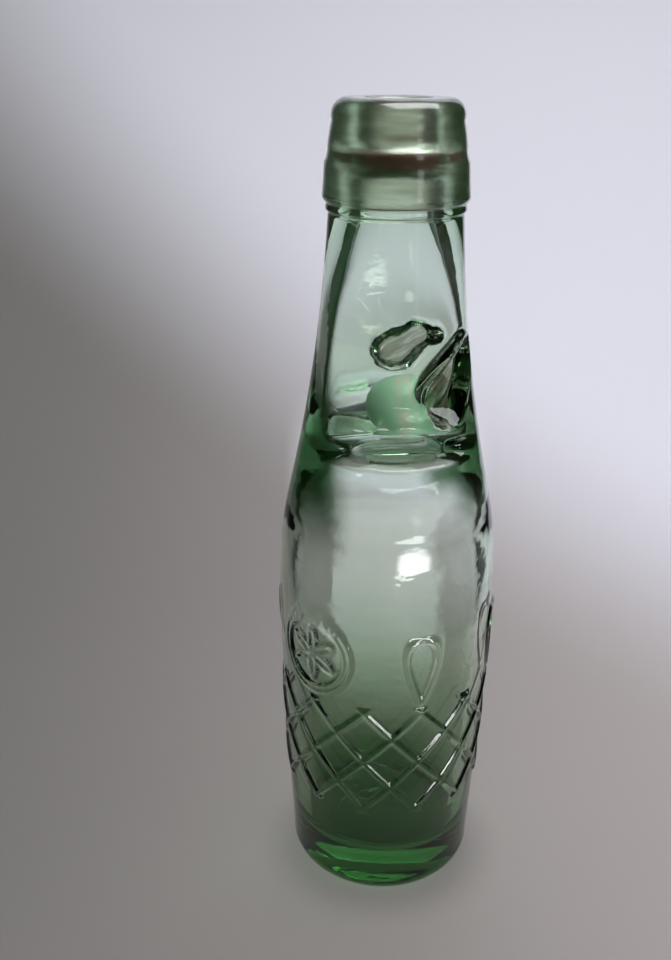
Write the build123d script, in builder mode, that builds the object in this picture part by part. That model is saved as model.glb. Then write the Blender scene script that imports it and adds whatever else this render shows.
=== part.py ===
from build123d import *
import os
from math import asin, cos, degrees, hypot, radians, sin, sqrt, tan

os.makedirs("parts", exist_ok=True)

# A pinched-neck soda bottle of pressed green glass, closed by a loose glass marble that
# seals upwards against a rubber ring in the lip. Millimetres, Z up, origin under the base.
# Azimuths are degrees about Z from the front (-Y) towards the right (+X).

# Outside of the blown bottle
bottle_height = 230.0
foot_inner_radius = 17.5
foot_outer_radius = 20.0
push_up = 2.4
heel_radius = 27.7
heel_height = 8.6
barrel_radius = 31.4
barrel_widest_height = 91.0
barrel_bulge = 0.36
upper_barrel_bulge = 0.3
shoulder_radius = 29.9
shoulder_height = 118.4
shoulder_round = 80.0
neck_radius = 17.7
neck_sweep = 1.9

# Inside of the blown bottle
floor_thickness = 13.6
floor_flat_radius = 16.0
floor_corner = 7.6
barrel_wall = 4.3
ceiling_drop = 3.0
ceiling_crown = 2.4
slot_half_length = 16.3
slot_rise = 19.6
slot_round = 9.0
ceiling_round = 12.0
throat_radius = 9.4
chamber_bulge = 2.8

# The two long dents pressed in from the front and the back, which leave a slot between them
pinch_azimuth = 6.0
pinch_rise = 23.5
pinch_tilt = 14.0
pinch_draft = 12.0
slot_gap = 14.6
pinch_wall = 4.3
pinch_plan_radius = 30.0
pinch_round = 2.6

# Thick cheeks that the pinching leaves inside, which make the marble chamber oval
cheek_radius = 23.0
cheek_reach = 11.6
cheek_rise = 4.2
cheek_flare = 8.0

# The two slanting dents on the right, which catch the marble when the bottle is poured, the
# nearer one larger than the farther
lug_azimuth = 109.0
lug_spread = 55.0
lug_rise = 19.4
near_half_length = 7.6
near_low_round = 6.0
near_high_round = 3.8
far_half_length = 4.2
far_low_round = 5.0
far_high_round = 3.6
lug_centre_radius = 19.5
lug_lean = 50.0
lug_wall = 3.5

# Marble and its way up
marble_diameter = 17.0
marble_gap = 0.3
marble_roll = 3.7

# Applied lip and its rubber ring
lip_height = 27.8
collar_radius = 19.25
collar_round = 4.0
collar_bulge = 0.7
band_top_radius = 18.7
band_top_drop = 15.2
step_radius = 17.8
step_drop = 11.2
step_round = 2.0
rim_radius = 15.4
rim_round = 2.2
mouth_radius = 7.5
mouth_round = 2.0
groove_drop = 12.0
ring_height = 5.8
ring_outer_radius = 10.8
ring_bore_radius = 6.8
ring_round = 1.4
ring_side_gap = 0.15
ring_top_gap = 0.2

# One overrun lets every cut run past the glass it leaves
overrun = 5.0

weld_height = bottle_height - lip_height
slot_height = shoulder_height + slot_rise
pinch_height = shoulder_height + pinch_rise
lug_height = pinch_height + lug_rise
groove_top = bottle_height - groove_drop
ring_seat = groove_top - ring_top_gap - ring_height
marble_radius = marble_diameter / 2
rim_circle = pinch_plan_radius - pinch_round
rim_reach = slot_gap / 2 + pinch_wall + pinch_round


def around(azimuth, radius, height):
    angle = radians(azimuth)
    return (radius * sin(angle), -radius * cos(angle), height)


def pinch_wheel(azimuth, growth):
    # Wheel with a round-nosed, wedge-shaped edge that bites into the side of the neck
    edge_round = pinch_round + growth
    draft = radians(pinch_draft)
    flank = (rim_circle + edge_round * sin(draft), edge_round * cos(draft))
    hub_half = flank[1] + flank[0] * tan(draft)
    tilt = radians(pinch_tilt)
    hub = around(azimuth, rim_reach + rim_circle * cos(tilt), pinch_height + rim_circle * sin(tilt))
    inward = Vector(*around(azimuth, -cos(tilt), -sin(tilt)))
    sideways = Vector(*around(azimuth + 90, 1, 0))
    axle = inward.cross(sideways)
    with BuildPart() as wheel:
        with BuildSketch(Plane(origin=hub, x_dir=inward, z_dir=inward.cross(axle))):
            with BuildLine():
                Line((0, -hub_half), (flank[0], -flank[1]))
                CenterArc(
                    (rim_circle, 0),
                    edge_round,
                    start_angle=pinch_draft - 90,
                    arc_size=180 - 2 * pinch_draft,
                )
                Line(flank, (0, hub_half))
                Line((0, hub_half), (0, -hub_half))
            make_face()
        revolve(axis=Axis(hub, axle))
    return wheel.part


def lug_pear(side, half_length, low_round, high_round):
    # Pear pushed in from the side of the neck, its slim top leaning towards the other one
    azimuth = lug_azimuth - side * lug_spread
    taper = asin((low_round - high_round) / (2 * half_length))
    centre = around(azimuth, lug_centre_radius, lug_height)
    outward = Vector(*around(azimuth, 1, 0))
    sideways = Vector(0, 0, 1).cross(outward)
    lean = radians(side * lug_lean)
    long_way = Vector(0, 0, 1) * cos(lean) + sideways * sin(lean)
    with BuildPart() as pear:
        with BuildSketch(Plane(origin=centre, x_dir=long_way, z_dir=outward.cross(long_way))):
            with BuildLine():
                CenterArc(
                    (-half_length, 0),
                    low_round,
                    start_angle=180,
                    arc_size=-90 - degrees(taper),
                )
                Line(
                    (low_round * sin(taper) - half_length, low_round * cos(taper)),
                    (high_round * sin(taper) + half_length, high_round * cos(taper)),
                )
                CenterArc(
                    (half_length, 0),
                    high_round,
                    start_angle=90 - degrees(taper),
                    arc_size=degrees(taper) - 90,
                )
                Line((half_length + high_round, 0), (-half_length - low_round, 0))
            make_face()
        revolve(axis=Axis(centre, long_way))
    return pear.part


def chamber_cheek(azimuth):
    # Everything in front of the flatter wall that the pinching leaves on this side of the chamber
    foot = pinch_height + cheek_rise
    far = cheek_radius + neck_radius + barrel_radius
    centre = around(azimuth + 180, cheek_radius - cheek_reach, 0)
    with BuildPart() as cheek:
        with BuildSketch(Plane(origin=centre, x_dir=(1, 0, 0), z_dir=(0, -1, 0))):
            with BuildLine():
                Line((cheek_radius, weld_height), (cheek_radius, foot))
                CenterArc((cheek_radius + cheek_flare, foot), cheek_flare, start_angle=180, arc_size=90)
                Polyline(
                    (cheek_radius + cheek_flare, foot - cheek_flare),
                    (far, foot - cheek_flare),
                    (far, weld_height),
                    (cheek_radius, weld_height),
                )
            make_face()
        revolve(axis=Axis(centre, (0, 0, 1)))
    return cheek.part


def corner_at(radius, height):
    # Corner of the half outline nearest to this place
    place = Vector(radius, height, 0)
    return vertices().sort_by_distance(place)[0]


def cut_dents(growth_at_pinch, growth_at_lug):
    for azimuth in (pinch_azimuth, pinch_azimuth + 180):
        add(pinch_wheel(azimuth, growth_at_pinch), mode=Mode.SUBTRACT)
    for side, half_length, low_round, high_round in (
        (1, near_half_length, near_low_round, near_high_round),
        (-1, far_half_length, far_low_round, far_high_round),
    ):
        pear = lug_pear(side, half_length, low_round + growth_at_lug, high_round + growth_at_lug)
        add(pear, mode=Mode.SUBTRACT)


# Hollow of the blown bottle: barrel, slot under the marble, marble chamber and throat
with BuildPart() as hollow:
    floor = floor_thickness
    ceiling = shoulder_height - ceiling_drop
    with BuildSketch(Plane.XZ):
        with BuildLine():
            Line((0, floor), (floor_flat_radius, floor))
            TangentArc(
                (floor_flat_radius, floor),
                (heel_radius - barrel_wall, floor + floor_corner),
                tangent=(1, 0),
            )
            SagittaArc(
                (heel_radius - barrel_wall, floor + floor_corner),
                (barrel_radius - barrel_wall, barrel_widest_height),
                -barrel_bulge,
            )
            SagittaArc(
                (barrel_radius - barrel_wall, barrel_widest_height),
                (shoulder_radius - barrel_wall, ceiling),
                -upper_barrel_bulge,
            )
            SagittaArc(
                (shoulder_radius - barrel_wall, ceiling),
                (slot_half_length, slot_height),
                -ceiling_crown,
            )
            SagittaArc((slot_half_length, slot_height), (throat_radius, weld_height), -chamber_bulge)
            Line((throat_radius, weld_height), (throat_radius, weld_height + overrun))
            Line((throat_radius, weld_height + overrun), (0, weld_height + overrun))
            Line((0, weld_height + overrun), (0, floor))
        make_face()
        fillet(corner_at(shoulder_radius - barrel_wall, ceiling), ceiling_round)
        fillet(corner_at(slot_half_length, slot_height), slot_round)
    revolve(axis=Axis.Z)
    for azimuth in (pinch_azimuth, pinch_azimuth + 180):
        add(chamber_cheek(azimuth), mode=Mode.SUBTRACT)
    cut_dents(pinch_wall, lug_wall)

# Blown bottle up to the weld with the lip
with BuildPart() as bottle_body:
    with BuildSketch(Plane.XZ):
        with BuildLine():
            TangentArc((0, push_up), (foot_inner_radius, 0), tangent=(1, 0))
            Line((foot_inner_radius, 0), (foot_outer_radius, 0))
            TangentArc((foot_outer_radius, 0), (heel_radius, heel_height), tangent=(1, 0))
            SagittaArc((heel_radius, heel_height), (barrel_radius, barrel_widest_height), -barrel_bulge)
            SagittaArc(
                (barrel_radius, barrel_widest_height),
                (shoulder_radius, shoulder_height),
                -upper_barrel_bulge,
            )
            SagittaArc((shoulder_radius, shoulder_height), (neck_radius, weld_height), neck_sweep)
            Line((neck_radius, weld_height), (0, weld_height))
            Line((0, weld_height), (0, push_up))
        make_face()
        fillet(corner_at(shoulder_radius, shoulder_height), shoulder_round)
    revolve(axis=Axis.Z)
    cut_dents(0, 0)
    add(hollow.part, mode=Mode.SUBTRACT)

# Applied lip: a second gather of glass, with a groove inside for the rubber ring
with BuildPart() as applied_lip:
    with BuildSketch(Plane.XZ):
        with BuildLine():
            SagittaArc((neck_radius, weld_height), (collar_radius, weld_height + collar_round), -collar_bulge)
            FilletPolyline(
                (collar_radius, weld_height + collar_round),
                (band_top_radius, bottle_height - band_top_drop),
                (step_radius, bottle_height - step_drop),
                (rim_radius, bottle_height),
                (mouth_radius, bottle_height),
                (mouth_radius, groove_top),
                radius=[step_round, step_round, rim_round, mouth_round],
            )
            Polyline(
                (mouth_radius, groove_top),
                (ring_outer_radius + ring_side_gap, groove_top),
                (ring_outer_radius + ring_side_gap, ring_seat),
                (throat_radius, ring_seat),
                (throat_radius, weld_height),
                (neck_radius, weld_height),
            )
        make_face()
    revolve(axis=Axis.Z)

# Rubber ring that the marble seals against
with BuildPart() as rubber_ring:
    with BuildSketch(Plane.XZ):
        with Locations(((ring_bore_radius + ring_outer_radius) / 2, ring_seat + ring_height / 2)):
            RectangleRounded(ring_outer_radius - ring_bore_radius, ring_height, ring_round)
    revolve(axis=Axis.Z)

# Marble, rolled a little to the right along the slot and resting on the two pinches
rim_sag = hypot(marble_roll, rim_circle + rim_reach) - rim_circle - rim_reach
rest_reach = rim_reach + rim_sag * cos(radians(pinch_tilt))
rest_span = marble_radius + pinch_round + pinch_wall + marble_gap
rest_lift = sqrt(rest_span**2 - rest_reach**2)
rest_height = pinch_height + rim_sag * sin(radians(pinch_tilt)) + rest_lift
rest_place = around(pinch_azimuth + 90, marble_roll, rest_height)
with BuildPart(Plane(origin=rest_place)) as marble:
    Sphere(marble_radius)

# Where the marble stops, just under the ring
seat_place = (0, 0, ring_seat - sqrt((marble_radius + marble_gap) ** 2 - ring_bore_radius**2))
travel = [seat_place[i] - rest_place[i] for i in range(3)]
print("marble rests at", rest_place)
print("marble travel", travel, hypot(*travel))

for node, piece in {
    "bottle_body": bottle_body,
    "applied_lip": applied_lip,
    "rubber_ring": rubber_ring,
    "marble": marble,
}.items():
    piece.part.label = node
    export_step(piece.part, f"parts/{node}.step")
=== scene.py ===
import math
import bmesh
import bpy
from mathutils import Matrix, Vector, noise


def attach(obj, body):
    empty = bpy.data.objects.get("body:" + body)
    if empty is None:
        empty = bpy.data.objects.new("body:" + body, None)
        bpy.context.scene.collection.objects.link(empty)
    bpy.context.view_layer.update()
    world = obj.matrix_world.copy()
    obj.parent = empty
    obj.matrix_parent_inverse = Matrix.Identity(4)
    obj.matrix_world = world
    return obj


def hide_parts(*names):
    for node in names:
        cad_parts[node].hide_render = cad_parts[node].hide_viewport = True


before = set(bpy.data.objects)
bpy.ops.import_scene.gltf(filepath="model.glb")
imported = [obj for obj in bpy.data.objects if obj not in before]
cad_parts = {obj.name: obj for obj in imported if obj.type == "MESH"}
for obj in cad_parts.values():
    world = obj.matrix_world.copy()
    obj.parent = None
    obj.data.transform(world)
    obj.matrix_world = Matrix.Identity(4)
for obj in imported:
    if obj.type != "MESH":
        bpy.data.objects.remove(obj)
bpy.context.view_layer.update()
mm = 0.001  # shapes below are written in millimetres and scaled once


def newObject(name, bm, material):
    # scales the finished mesh to metres and puts it in the scene at the origin
    bmesh.ops.scale(bm, vec=(mm, mm, mm), verts=bm.verts)
    mesh = bpy.data.meshes.new(name)
    bm.to_mesh(mesh)
    bm.free()
    mesh.shade_smooth()
    mesh.materials.append(material)
    piece = bpy.data.objects.new(name, mesh)
    bpy.context.scene.collection.objects.link(piece)
    return piece


def turnTo(bm, last, radius, height, bow, rows):
    # carries the outline on to the next station: straight, or along an arc that bows to the right
    start = last.co.copy()
    chord = Vector((radius - start.x, 0, height - start.z))
    if bow:
        right = Vector((chord.z, 0, -chord.x)).normalized()
        arcRadius = (chord.length ** 2 / 4 + bow ** 2) / (2 * bow)
        centre = start + chord / 2 + right * (bow - arcRadius)
        angle = 4 * math.atan(2 * bow / chord.length)
        step = Matrix.Rotation(angle / rows, 3, (0, -1, 0))
    for row in range(rows):
        tip = bmesh.ops.extrude_vert_indiv(bm, verts=[last])
        if bow:
            bmesh.ops.rotate(bm, verts=tip["verts"], cent=centre, matrix=step)
        else:
            bmesh.ops.translate(bm, verts=tip["verts"], vec=chord / rows)
        last = tip["verts"][0]
    return last


def lathe(stations, steps):
    # turns an outline of stations (radius, height, bow, rows) about the bottle's axis
    bm = bmesh.new()
    radius, height = stations[0][:2]
    last = bmesh.ops.create_vert(bm, co=(radius, 0, height))["vert"][0]
    for station in stations[1:]:
        last = turnTo(bm, last, *station)
    bmesh.ops.spin(bm, geom=bm.verts[:] + bm.edges[:], cent=(0, 0, 0), axis=(0, 0, 1),
                   angle=math.tau, steps=steps, use_merge=True)
    bmesh.ops.remove_doubles(bm, verts=bm.verts, dist=0.001)
    bmesh.ops.recalc_face_normals(bm, faces=bm.faces)
    bm.normal_update()
    return bm


def clamp(share):
    return max(0.0, min(1.0, share))


def softMin(a, b, blend):
    # the smaller of two lengths, with the corner between them rounded
    h = clamp(0.5 + 0.5 * (b - a) / blend)
    return b + (a - b) * h - blend * h * (1 - h)


def aim(azimuth):
    # level direction at an azimuth in degrees, 0 at the front and 90 at the right
    a = math.radians(azimuth)
    return Vector((math.sin(a), -math.cos(a), 0))


# bottle glass

bottle = {
    "steps": 180,
    "wall": 4.3,
    "lugWall": 3.5,
    # the pairs below are for the front pinch and the back one
    "pinch": {"azimuth": 6, "height": 141.9, "slot": 14.6, "plan": 30, "nose": 2.6, "tilt": 14,
              "drafts": (12, 22), "underDraft": 12, "ledge": (4.4, 6.4), "ledgeDraft": (7, 12),
              "mouths": (2.4, 5), "endMouth": 0.7, "endFrom": 8, "corners": {"over": 2.4, "under": 0.8}},
    "cheek": {"radius": 23, "reach": 11.6, "foot": 146.1, "flare": 8, "blend": 3},
    "lugs": {"near": {"azimuth": 54, "lean": 50, "height": 161.3, "spine": 19.5, "long": 7.6, "big": 6,
                      "small": 3.8},
             "far": {"azimuth": 164, "lean": -50, "height": 161.3, "spine": 19.5, "long": 4.2, "big": 5,
                     "small": 3.6}},
    "press": (80, 202),
    "ripple": (15, 226),
    "relief": (20, 113),
    "fineBand": {"heights": (27, 97), "radius": 27, "front": -0.32},
    "deep": {"heights": (110, 190), "ledge": 142.5, "ledgeWeight": 0.9, "pressed": 1.5, "soft": 2,
             "middle": 139, "left": 21, "right": 15, "side": 13, "sideSoft": 6},
    "outside": [
        (0, 2.4),
        (17.5, 0, -0.6, 8),
        (20, 0, 0, 2),
        (27.7, 8.6, 2.58, 12),
        (31.4, 91, 0.36, 72),
        (30.6, 111.5, 0.15, 9),
        (28.6, 124.1, 0.22, 8),
        (17.7, 202.2, -1.72, 84),
        (18.35, 203.2, 0.3, 4),
        (18.15, 204.4, 0.05, 2),
        (19.2, 206.9, 0.5, 6),
        (18.75, 214.4, 0, 5),
        (17.9, 218.4, -0.25, 5),
        (16.9, 224.6, 0.1, 4),
        (13.9, 230, 1.3, 8),
        (9.4, 230, 0, 3),
        (7.5, 228, 0.8, 5),
    ],
    "inside": [
        (7.5, 218, 0, 5),
        (10.78, 218, 0, 3),
        (10.78, 212, 0, 4),
        (9.4, 212, 0, 2),
        (9.4, 202.2, 0, 5),
        (16.5, 141.6, -2.5, 60),
        (18.5, 135.6, 0.58, 6),
        (25.6, 115.4, -1.74, 22),
        (27.1, 91, -0.22, 10),
        (23.4, 21.2, -0.36, 14),
        (16, 13.6, -2.2, 10),
        (0, 13.9, 0.1, 8),
    ],
}


def pressPinch(v, azimuth, inside):
    # moves a point in along the level press, as far as the wedge-shaped dent reaches there
    p = bottle["pinch"]
    far = azimuth > 90
    grow = bottle["wall"] if inside else 0
    nose = p["nose"] + grow
    reach = p["slot"] / 2 + bottle["wall"] - grow
    nosePlace = p["slot"] / 2 + bottle["wall"] + p["nose"]
    inward, side = aim(azimuth), aim(azimuth + 90)
    q, s = v.co.dot(inward), v.co.dot(side)
    plan = p["plan"] + grow
    if q <= 0 or abs(s) > 0.98 * plan:
        return
    slope = math.tan(math.radians(p["tilt"]))
    level = v.co.z - (q - nosePlace) * slope
    t = abs(level - p["height"])
    if inside:
        # blunt edge that carries the marble, thin glass behind it
        draft = math.radians(p["ledgeDraft"][far])
        blunt = 0.97 * p["ledge"][far]
        f = min(t, blunt) / p["ledge"][far]
        dent = nose * (1 - (1 - f ** 3) ** (1 / 3)) + max(0.0, t - blunt) / math.tan(draft)
        mouth = p["corners"]["under" if v.co.z < p["height"] else "over"]
    else:
        draft = math.radians(p["drafts"][far] if level > p["height"] else p["underDraft"])
        if t < nose * math.cos(draft):
            dent = nose - math.sqrt(nose ** 2 - t ** 2)
        else:
            dent = nose * (1 - math.sin(draft)) + (t - nose * math.cos(draft)) / math.tan(draft)
        mouth = p["mouths"][far]
        if not far:
            mouth += p["endMouth"] * max(0.0, abs(s) - p["endFrom"])
    dent += reach + plan - math.sqrt(plan ** 2 - s ** 2)
    c = bottle["cheek"]
    if inside and v.co.z > c["foot"] - c["flare"]:
        low = max(0.0, c["foot"] - v.co.z) / c["flare"]
        outer = c["radius"] + c["flare"] * (1 - math.sqrt(1 - low ** 2))
        dent = softMin(dent, math.sqrt(outer ** 2 - s ** 2) + c["reach"] - c["radius"], c["blend"])
    new = softMin(q, dent, mouth)
    v.co += inward * (new - q) + Vector((0, 0, (new - q) * slope))


def pressLug(v, p, inside, place):
    # the same for one of the two pear-shaped dents that catch the marble
    grow = bottle["lugWall"] if inside else 0
    inward, side = aim(p["azimuth"]), aim(p["azimuth"] + 90)
    q, s = v.co.dot(inward), v.co.dot(side)
    if q <= 0:
        return
    up = v.co.z - p["height"]
    a = math.radians(p["lean"])
    along, across = up * math.cos(a) + s * math.sin(a), s * math.cos(a) - up * math.sin(a)
    f = clamp((along + p["long"]) / (2 * p["long"]))
    radius = p["big"] + (p["small"] - p["big"]) * f + grow
    over = max(0.0, abs(along) - p["long"])
    u = math.hypot(over, across) / radius
    edge = 0.93  # beyond this share of its radius the cup runs on straight
    if u < edge:
        cup = 1 - math.sqrt(1 - u * u)
    else:
        cup = 1 - math.sqrt(1 - edge ** 2) + (u - edge) * edge / math.sqrt(1 - edge ** 2)
    dent = p["spine"] - radius * (1 - cup)
    # chill marks of the pressing tool run along the dent
    dent += 0.22 * noise.noise(Vector((across / 1.7, along / 9, p["azimuth"]))) * max(0.0, 1 - u ** 4)
    new = softMin(q, dent, 0.8 if inside else 1.2)
    v.co += inward * (new - q)
    if u < 2:
        v[place] = Vector((across, along, clamp((q - new - 0.3) / 0.9)))


def ripple(place, inside):
    # slow waves of hand-worked glass, long drawn in the neck and rounder in the barrel
    drawn = clamp((place.z - 120) / 30)
    wide, tall = 9 - 2.5 * drawn, 9 + 19 * drawn
    wave = noise.noise(Vector((place.x / wide, place.y / wide, place.z / tall)))
    fine = noise.noise(Vector((place.x / 4, place.y / 4, place.z / (3 + 8 * drawn) + 40)))
    if inside:
        return (0.1 + 0.16 * drawn) * wave + 0.03 * fine
    return 0.07 * wave + 0.015 * fine


trellis = {"node": 42.5, "tall": 17, "low": 33.5, "high": 68.5, "cells": 12, "ridge": 0.7, "width": 0.78,
           "turn": 2.3, "reach": 105, "fade": 6}
drops = {"azimuths": (17.3, 77.3, -102.7), "foot": 70.5, "rise": 21, "half": 5.4}
scar = {"azimuth": -31, "height": 106.6, "half": 5, "depth": 0.4, "width": 0.6}
medallion = {"azimuth": -42.7, "height": 83.5, "rings": (12.2, 10.4), "petal": 8.6}


def reliefHeight(azimuth, height):
    # raised lines: a plain diamond trellis, drop-shaped loops above it and a medallion with six petals
    t = trellis
    u = (azimuth - t["turn"]) * t["cells"] / 360
    w = (height - t["node"]) / t["tall"]
    cellWide = math.tau * 30 / t["cells"]
    beyond = max(t["low"] - height, height - t["high"], 0)
    best = 9
    for way in (1, -1):
        k = w + way * u
        line = abs(k - round(k)) * cellWide * t["tall"] / math.hypot(cellWide, t["tall"])
        best = min(best, math.hypot(line, beyond))
    perDegree = math.tau * 31.2 / 360
    for at in drops["azimuths"]:
        f = (height - drops["foot"]) / drops["rise"]
        x = abs(azimuth - at) * perDegree
        if 0 <= f <= 1:
            # the loop is slim at its foot and round at its head
            edge = drops["half"] * 1.54 * f * math.sqrt(max(0, 1 - f ** 2.4)) ** 0.9
            slope = max(0.35, abs(1.2 * f - 0.3)) if f > 0.7 else 0.22
            best = min(best, abs(x - edge) * (1 if f < 0.8 else 1 - 0.6 * (f - 0.8) / 0.2) / math.hypot(1, slope))
    x, y = (azimuth - medallion["azimuth"]) * perDegree, height - medallion["height"]
    away = math.hypot(x, y)
    best = min([best] + [abs(away - r) for r in medallion["rings"]])
    for petal in range(6):
        # each petal is the outline shared by two circles
        a = math.radians(60 * petal)
        along, across = x * math.sin(a) + y * math.cos(a), x * math.cos(a) - y * math.sin(a)
        size = medallion["petal"]
        if 0 < along < size:
            swell = math.sqrt(size ** 2 - (along - size / 2) ** 2) - size * math.sqrt(3) / 2
            best = min(best, abs(abs(across) - swell))
    if abs(azimuth - scar["azimuth"]) < 4 and abs(height - scar["height"]) < scar["half"]:
        taper = 1 - ((height - scar["height"]) / scar["half"]) ** 2
        return -scar["depth"] * taper * math.exp(-((azimuth - scar["azimuth"]) * perDegree / scar["width"]) ** 2)
    fade = clamp((t["reach"] - abs(azimuth)) / t["fade"])
    return fade * t["ridge"] * math.exp(-(best / t["width"]) ** 3)


def deepGreenAndShade(v, start):
    # how much the glass under the ledge and at the pinches' ends is darkened: partly the deeper green of the thick
    # glass there, partly painted shade for the dark its internal reflections show
    d = bottle["deep"]
    low, high = d["heights"]
    if not low < v.co.z < high:
        return 0
    s = abs(v.co.dot(aim(bottle["pinch"]["azimuth"] + 90)))
    pressed = start.xy.length - v.co.xy.length
    under = clamp((pressed - d["pressed"]) / d["soft"]) * clamp((d["ledge"] - v.co.z) / d["soft"])
    spread = d["left"] if v.co.x < 0 else d["right"]
    ends = clamp((s - d["side"]) / d["sideSoft"]) * math.exp(-((v.co.z - d["middle"]) / spread) ** 4)
    return max(d["ledgeWeight"] * under, ends)


def within(value, bounds):
    return bounds[0] < value < bounds[1]


def makeBottle(material):
    bm = lathe(bottle["outside"] + bottle["inside"], bottle["steps"])
    # the glass is sorted into its two sides by the direction of its faces
    floor = bottle["inside"][-1][1]
    side = bm.verts.layers.int.new("inside")
    for v in bm.verts:
        v[side] = v.normal.dot(Vector((v.co.x, v.co.y, 0))) < 0 and v.co.z > floor
    fine = bottle["fineBand"]
    band = [e for e in bm.edges
            if all(not v[side] and within(v.co.z, fine["heights"]) and v.co.xy.length > fine["radius"]
                   and v.co.normalized().dot(Vector((0, -1, 0))) > fine["front"] for v in e.verts)]
    bmesh.ops.subdivide_edges(bm, edges=band, cuts=1, use_grid_fill=True)
    bm.verts.layers.float.new("deep")
    bm.verts.layers.float_vector.new("lugPlace")
    # layers move when others are added, so all three are fetched after the last one
    side = bm.verts.layers.int["inside"]
    deep = bm.verts.layers.float["deep"]
    lugPlace = bm.verts.layers.float_vector["lugPlace"]
    for v in bm.verts:
        isIn = v[side]
        start = v.co.copy()
        if within(v.co.z, bottle["press"]) and v.co.xy.length > 5:
            for azimuth in (bottle["pinch"]["azimuth"], bottle["pinch"]["azimuth"] + 180):
                pressPinch(v, azimuth, isIn)
            for lug in bottle["lugs"].values():
                pressLug(v, lug, isIn, lugPlace)
        level = Vector((v.co.x, v.co.y, 0)).normalized()
        if within(v.co.z, bottle["ripple"]) and v.co.xy.length > 8:
            v.co += level * ripple(v.co, isIn)
        if not isIn and within(v.co.z, bottle["relief"]):
            azimuth = math.degrees(math.atan2(v.co.x, -v.co.y))
            v.co += level * reliefHeight(azimuth, v.co.z)
        v[deep] = deepGreenAndShade(v, start)
    bmesh.ops.recalc_face_normals(bm, faces=bm.faces)
    print("bottle glass", len(bm.verts), "points", sum(len(f.verts) - 2 for f in bm.faces), "triangles")
    return newObject("bottle_glass", bm, material)


# materials

def principled(name):
    material = bpy.data.materials.new(name)
    material.use_nodes = True
    return material, material.node_tree, material.node_tree.nodes["Principled BSDF"]


def objectPlace(tree):
    # the object's own coordinates, whole and split
    coordinate = tree.nodes.new("ShaderNodeTexCoord")
    split = tree.nodes.new("ShaderNodeSeparateXYZ")
    tree.links.new(coordinate.outputs["Object"], split.inputs["Vector"])
    return (coordinate.outputs["Object"], *split.outputs)


def mathNode(tree, operation, first, second=None):
    # first and second are numbers or the outputs of other nodes
    node = tree.nodes.new("ShaderNodeMath")
    node.operation = operation
    for socket, value in zip(node.inputs, (first, second)):
        if isinstance(value, (int, float)):
            socket.default_value = value
        elif value is not None:
            tree.links.new(value, socket)
    return node.outputs["Value"]


def ramp(tree, source, low, high):
    # soft 0 to 1 step of a value between two bounds
    step = tree.nodes.new("ShaderNodeMapRange")
    step.interpolation_type = "SMOOTHSTEP"
    step.inputs["From Min"].default_value = low
    step.inputs["From Max"].default_value = high
    tree.links.new(source, step.inputs["Value"])
    return step.outputs["Result"]


def blendColours(tree, factor, first, second):
    # first and second are colours or the outputs of other nodes
    mix = tree.nodes.new("ShaderNodeMix")
    mix.data_type = "RGBA"
    tree.links.new(factor, mix.inputs["Factor"])
    for socket, colour in (("A", first), ("B", second)):
        place = [s for s in mix.inputs if s.name == socket and s.type == "RGBA"][0]
        if isinstance(colour, tuple):
            place.default_value = (*colour, 1)
        else:
            tree.links.new(colour, place)
    return [s for s in mix.outputs if s.type == "RGBA"][0]


def addUp(tree, terms):
    # sum of outputs, each times its weight
    total = None
    for source, weight in terms:
        term = mathNode(tree, "MULTIPLY", source, weight)
        total = term if total is None else mathNode(tree, "ADD", total, term)
    return total


def stretchedNoise(tree, vector, scale, detail):
    # noise of a vector whose three parts are first multiplied by a scale each
    stretch = tree.nodes.new("ShaderNodeMapping")
    stretch.inputs["Scale"].default_value = scale
    tree.links.new(vector, stretch.inputs["Vector"])
    cloud = tree.nodes.new("ShaderNodeTexNoise")
    cloud.inputs["Scale"].default_value = 1
    cloud.inputs["Detail"].default_value = detail
    tree.links.new(stretch.outputs["Vector"], cloud.inputs["Vector"])
    return cloud.outputs["Fac"]


def makeGlass(name, look):
    material, tree, shader = principled(name)
    shader.inputs["Base Color"].default_value = (1, 1, 1, 1)
    shader.inputs["Roughness"].default_value = look["roughness"]
    shader.inputs["Transmission Weight"].default_value = look["clear"]
    shader.inputs["IOR"].default_value = 1.52
    absorb = tree.nodes.new("ShaderNodeVolumeAbsorption")
    absorb.inputs["Color"].default_value = (*look["tint"], 1)
    absorb.inputs["Density"].default_value = look["density"]
    tree.links.new(absorb.outputs["Volume"], tree.nodes["Material Output"].inputs["Volume"])
    return material, tree, shader


# heights and places in materials are in metres, scales are per metre
glassLook = {
    "tint": (0.1, 0.7, 0.175),
    "density": 20,
    "roughness": 0.0,
    "clear": 1,
    # painted shade with the green of the thick foot: the barrel and foot colours darken the glass towards the
    # bottom
    "barrel": {"from": 0.098, "to": 0.042, "colour": (0.44, 0.555, 0.42)},
    "foot": {"from": 0.036, "to": 0.014, "colour": (0.07, 0.235, 0.07)},
    # darker green at the pinches: thick glass and painted shade
    "pinch": (0.07, 0.16, 0.07),
    # painted shade: the lugs' darker fill and streaks stand for the dark room seen through them
    "lug": {"shadeFill": (0.32, 0.35, 0.27), "shadeFillWeight": 0.7, "shadeStreak": (0.17, 0.17, 0.1),
            "scale": (1.1, 0.14, 0), "edge": (0.25, 0.58)},
    "lip": {"from": 0.2025, "to": 0.206, "roughTo": 0.207, "pale": (0.95, 0.94, 0.87), "brown": (0.62, 0.61, 0.52),
            "scale": (90, 90, 700), "edge": (0.35, 0.68), "haze": 0.28},
    "waves": {"scale": (170, 170, 240), "weight": 0.5, "strength": 0.35, "distance": 0.0004},
}


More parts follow.
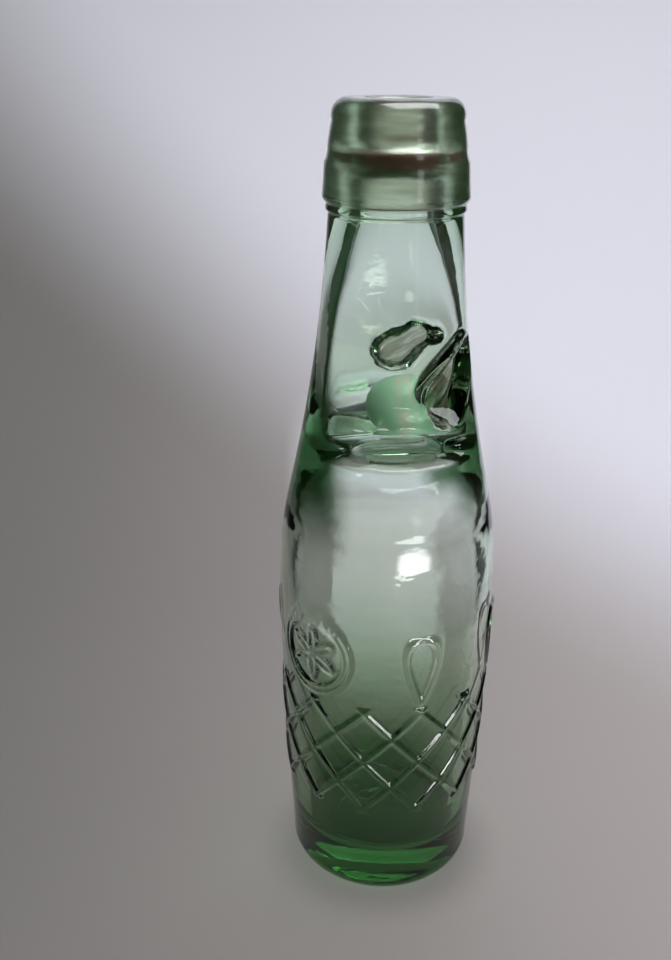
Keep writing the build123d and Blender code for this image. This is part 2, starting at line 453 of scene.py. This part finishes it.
def makeBottleGlass():
    look = glassLook
    material, tree, shader = makeGlass("bottleGlass", look)
    place, x, y, height = objectPlace(tree)
    # the glass colour turns darker green towards the foot, partly the deeper green of its thick foot and partly
    # painted shade for the shadow under and behind the bottle, which this glass does not cast; around the pinches
    # it deepens as well
    tint = (1, 1, 1)
    for part in (look["barrel"], look["foot"]):
        tint = blendColours(tree, ramp(tree, height, part["from"], part["to"]), tint, part["colour"])
    # painted shade with the deeper green of thick glass, under the ledge and at the pinches' ends
    deepAndShadeMask = tree.nodes.new("ShaderNodeAttribute")
    deepAndShadeMask.attribute_name = "deep"
    tint = blendColours(tree, deepAndShadeMask.outputs["Fac"], tint, look["pinch"])
    # painted shade: the two lugs are painted darker and browner, streaked along, for the dark room seen through
    # them
    lug = look["lug"]
    lugPlace = tree.nodes.new("ShaderNodeAttribute")
    lugPlace.attribute_name = "lugPlace"
    lugSplit = tree.nodes.new("ShaderNodeSeparateXYZ")
    tree.links.new(lugPlace.outputs["Vector"], lugSplit.inputs["Vector"])
    inLug = lugSplit.outputs["Z"]
    tint = blendColours(tree, mathNode(tree, "MULTIPLY", inLug, lug["shadeFillWeight"]), tint, lug["shadeFill"])
    shadeStreaks = ramp(tree, stretchedNoise(tree, lugPlace.outputs["Vector"], lug["scale"], 4), *lug["edge"])
    tint = blendColours(tree, mathNode(tree, "MULTIPLY", shadeStreaks, inLug), tint, lug["shadeStreak"])
    # the tooled lip is browner and full of fine level streaks
    lip = look["lip"]
    lipCloud = stretchedNoise(tree, place, lip["scale"], 5)
    lipTint = blendColours(tree, ramp(tree, lipCloud, *lip["edge"]), lip["pale"], lip["brown"])
    tint = blendColours(tree, ramp(tree, height, lip["from"], lip["to"]), tint, lipTint)
    tree.links.new(tint, shader.inputs["Base Color"])
    onLip = ramp(tree, height, lip["from"], lip["roughTo"])
    tree.links.new(mathNode(tree, "MULTIPLY", onLip, lip["haze"]), shader.inputs["Roughness"])
    tree.links.new(onLip, shader.inputs["Coat Weight"])
    waves = look["waves"]
    bump = tree.nodes.new("ShaderNodeBump")
    bump.inputs["Strength"].default_value = waves["strength"]
    bump.inputs["Distance"].default_value = waves["distance"]
    lipRough = mathNode(tree, "MULTIPLY", lipCloud, onLip)
    bodyCloud = stretchedNoise(tree, place, waves["scale"], 2)
    tree.links.new(addUp(tree, [(lipRough, 1), (bodyCloud, waves["weight"])]), bump.inputs["Height"])
    tree.links.new(bump.outputs["Normal"], shader.inputs["Normal"])
    return material


marbleLook = {
    "tint": (0.3, 0.75, 0.4),
    "density": 25,
    "roughness": 0.3,
    "clear": 0.3,
    "milk": (0.37, 0.62, 0.44),
    # painted reflection: pale brownish streaks of the lug in an upright band on the marble
    "lugReflection": (0.6, 0.57, 0.46),
    "lugReflectionBand": ((0.0005, 0.0022), (0.0065, 0.0045)),
    "scale": (420, 420, 90),
    "edge": (0.42, 0.56),
}


def makeMarbleGlass():
    # milky green glass, with a painted reflection of the lug: pale brownish streaks in an upright band
    look = marbleLook
    material, tree, shader = makeGlass("marbleGlass", look)
    place, x, y, z = objectPlace(tree)
    reflectionStreaks = ramp(tree, stretchedNoise(tree, place, look["scale"], 4), *look["edge"])
    left, right = (ramp(tree, x, *edge) for edge in look["lugReflectionBand"])
    lugReflectionHere = mathNode(tree, "MULTIPLY", reflectionStreaks, mathNode(tree, "MULTIPLY", left, right))
    tree.links.new(blendColours(tree, lugReflectionHere, look["milk"], look["lugReflection"]), shader.inputs["Base Color"])
    return material


ringLook = {"colour": (0.12, 0.045, 0.03), "roughness": 0.7}


def makeRingRubber():
    material, tree, shader = principled("ringRubber")
    shader.inputs["Base Color"].default_value = (*ringLook["colour"], 1)
    shader.inputs["Roughness"].default_value = ringLook["roughness"]
    return material


glass = makeBottle(makeBottleGlass())
glass.visible_shadow = False  # real glass passes its light on, so nothing inside it lies in the dark
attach(glass, "bottle")
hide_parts("bottle_body", "applied_lip")

for node, material in (("marble", makeMarbleGlass()), ("rubber_ring", makeRingRubber())):
    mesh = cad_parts[node].data
    mesh.materials.clear()
    mesh.materials.append(material)
    print(node, "keeps its shape and gets", material.name)

# stage

stageLook = {
    # painted shade: the table colour runs from dark on the left to lighter on the right
    "tableShadeToLight": ((0.225, 0.21, 0.2), (0.5, 0.45, 0.44)),
    "tableShadeAcross": (-0.2, 0.25),
    # painted shadow edge: where the paper turns from the table colour to the pale wall
    "wall": (0.82, 0.81, 0.895),
    "shadowEdgeSlant": (0.19, 0.56),
    "pool": (0.95, 0.95, 0.96),
    "poolWeight": 0.52,
    "poolHalf": (0.032, 0.016),
    "poolNear": (0.06, 0.12),
    "poolFar": (0.34, 0.26),
    "shade": (0.06, 0.065, 0.06),
    "shadeRadius": (0.042, 0.018),
    # painted shade beside the picture, for the dark room
    "dark": (0.03, 0.03, 0.027),
    "darkFrom": (0.142, 0.192),
    "world": ((0.012, 0.03, 0.012), (0.03, 0.024, 0.02)),
}


def makePaper():
    look = stageLook
    material, tree, shader = principled("sweepPaper")
    shader.inputs["Roughness"].default_value = 0.9
    place, x, y, z = objectPlace(tree)
    # painted shade: the table is darker towards the left, where shadow lies on it
    tableShadeToLight = blendColours(tree, ramp(tree, x, *look["tableShadeAcross"]), *look["tableShadeToLight"])
    # painted shadow: the paper turns pale along a slanted line that lies higher on the left, so its lower left
    # stays in painted shade
    shadowEdge = addUp(tree, [(x, 1.3), (y, 1), (z, 1)])
    cove = blendColours(tree, ramp(tree, shadowEdge, *look["shadowEdgeSlant"]), tableShadeToLight, look["wall"])
    # light that the bottle gathers on the paper behind itself, as wide as the bottle seen from the camera
    off = mathNode(tree, "ABSOLUTE", addUp(tree, [(x, 1), (y, -0.053)]))
    across = ramp(tree, addUp(tree, [(off, 1), (y, -0.1)]), *look["poolHalf"])
    along = mathNode(tree, "MULTIPLY", ramp(tree, y, *look["poolNear"]), ramp(tree, y, *look["poolFar"]))
    pool = mathNode(tree, "MULTIPLY", mathNode(tree, "MULTIPLY", across, along), look["poolWeight"])
    cove = blendColours(tree, pool, cove, look["pool"])
    # soft shade where the foot stands
    fromFoot = tree.nodes.new("ShaderNodeVectorMath")
    fromFoot.operation = "LENGTH"
    tree.links.new(place, fromFoot.inputs[0])
    shade = mathNode(tree, "MULTIPLY", ramp(tree, fromFoot.outputs["Value"], *look["shadeRadius"]), 0.5)
    cove = blendColours(tree, shade, cove, look["shade"])
    # painted shade: beside the picture the paper is painted near black, standing in for the dark room there, which
    # draws the dark bands down the bottle's edges
    aside = addUp(tree, [(mathNode(tree, "ABSOLUTE", x), 1), (y, -0.286)])
    cove = blendColours(tree, ramp(tree, aside, *look["darkFrom"]), cove, look["dark"])
    tree.links.new(cove, shader.inputs["Base Color"])
    return material


paperSize = {"half": 300, "front": -800, "fold": 150, "bend": 350, "wall": 700, "steps": 24}


def makeSweep(material):
    # one sheet of paper: table, bend and wall
    size = paperSize
    bm = bmesh.new()
    left = -size["half"]
    last = bmesh.ops.create_vert(bm, co=(left, size["front"], 0))["vert"][0]
    tip = bmesh.ops.extrude_vert_indiv(bm, verts=[last])
    bmesh.ops.translate(bm, verts=tip["verts"], vec=(0, size["fold"] - size["front"], 0))
    turn = bmesh.ops.spin(bm, geom=tip["verts"], cent=(left, size["fold"], size["bend"]), axis=(1, 0, 0),
                          angle=math.pi / 2, steps=size["steps"])
    last = [v for v in turn["geom_last"] if isinstance(v, bmesh.types.BMVert)]
    tip = bmesh.ops.extrude_vert_indiv(bm, verts=last)
    bmesh.ops.translate(bm, verts=tip["verts"], vec=(0, 0, size["wall"]))
    wide = bmesh.ops.extrude_edge_only(bm, edges=bm.edges[:])
    bmesh.ops.translate(bm, verts=[v for v in wide["geom"] if isinstance(v, bmesh.types.BMVert)],
                        vec=(2 * size["half"], 0, 0))
    bmesh.ops.recalc_face_normals(bm, faces=bm.faces)
    return newObject("paperSweep", bm, material)


def makeWorld():
    # a dark room, a little greener on the left
    world = bpy.data.worlds.new("room")
    bpy.context.scene.world = world
    world.use_nodes = True
    sky = world.node_tree
    coordinate = sky.nodes.new("ShaderNodeTexCoord")
    split = sky.nodes.new("ShaderNodeSeparateXYZ")
    sky.links.new(coordinate.outputs["Generated"], split.inputs["Vector"])
    sides = sky.nodes.new("ShaderNodeValToRGB")
    sky.links.new(split.outputs["X"], sides.inputs["Fac"])
    for stop, colour in zip(sides.color_ramp.elements, stageLook["world"]):
        stop.color = (*colour, 1)
    sky.links.new(sides.outputs["Color"], sky.nodes["Background"].inputs["Color"])


def areaLight(name, lamp):
    data = bpy.data.lights.new(name, "AREA")
    data.shape = "RECTANGLE"
    data.size, data.size_y = lamp["size"]
    data.energy = lamp["power"]
    data.color = lamp["colour"]
    if "soft" in lamp:
        # the light fades towards its edges, and none of it goes up steeper than the lid lets through
        data.use_nodes = True
        tree = data.node_tree
        surface = tree.nodes.new("ShaderNodeNewGeometry")
        reach = tree.nodes.new("ShaderNodeVectorMath")
        reach.operation = "DISTANCE"
        tree.links.new(surface.outputs["Parametric"], reach.inputs[0])
        reach.inputs[1].default_value = (0.5, 0.5, 0)
        steep = tree.nodes.new("ShaderNodeSeparateXYZ")
        tree.links.new(surface.outputs["Incoming"], steep.inputs["Vector"])
        fade = ramp(tree, reach.outputs["Value"], 0.5, 0.5 - lamp["soft"])
        under = ramp(tree, steep.outputs["Z"], lamp["lid"] + 0.02, lamp["lid"] - 0.02)
        tree.links.new(mathNode(tree, "MULTIPLY", fade, under), tree.nodes["Emission"].inputs["Strength"])
    piece = bpy.data.objects.new(name, data)
    bpy.context.scene.collection.objects.link(piece)
    piece.location = lamp["place"]
    piece.rotation_mode = "QUATERNION"
    piece.rotation_quaternion = (Vector(lamp["target"]) - piece.location).to_track_quat("-Z", "Y")


# places and sizes in metres; windowLow draws the gleam on the barrel, its lid keeps it out of the neck
lamps = {
    "topSoft": {"place": (0.25, 0, 1), "target": (0.1, 0.35, 0.2), "size": (0.9, 0.6), "power": 9,
                "colour": (0.97, 0.97, 1)},
    "window": {"place": (0.42, -0.65, 0.3), "target": (0, 0, 0.17), "size": (0.24, 0.42), "power": 0.8,
               "colour": (1, 0.98, 0.94), "soft": 0.45, "lid": 1},
    "windowLow": {"place": (0.164, -0.361, 0.02), "target": (0.006, -0.03, 0.113), "size": (0.3, 0.12),
                  "power": 1.6, "colour": (1, 1, 1), "soft": 0.2, "lid": 0.29},
}

makeSweep(makePaper())
makeWorld()
for name, lamp in lamps.items():
    areaLight(name, lamp)
print("stage set with", len(lamps), "lamps")

bpy.context.scene.view_settings.view_transform = "Standard"

# camera, at the photographed view

# place in mm, focal length and picture height in pixels
view = {"place": (-15.19, -287.6, 242.7), "down": 22.0, "roll": 0.4, "focal": 1085, "tall": 960, "sensor": 36}
camera = bpy.data.objects.new("camera", bpy.data.cameras.new("camera"))
bpy.context.scene.collection.objects.link(camera)
camera.data.sensor_width = view["sensor"]
camera.data.lens = view["focal"] / view["tall"] * view["sensor"]
camera.data.clip_start, camera.data.clip_end = 0.01, 20
tilt = Matrix.Rotation(math.radians(90 - view["down"]), 4, "X")
roll = Matrix.Rotation(math.radians(view["roll"]), 4, "Z")
camera.matrix_world = Matrix.Translation(Vector(view["place"]) * mm) @ tilt @ roll
bpy.context.scene.camera = camera
print("camera looks down", view["down"], "degrees")
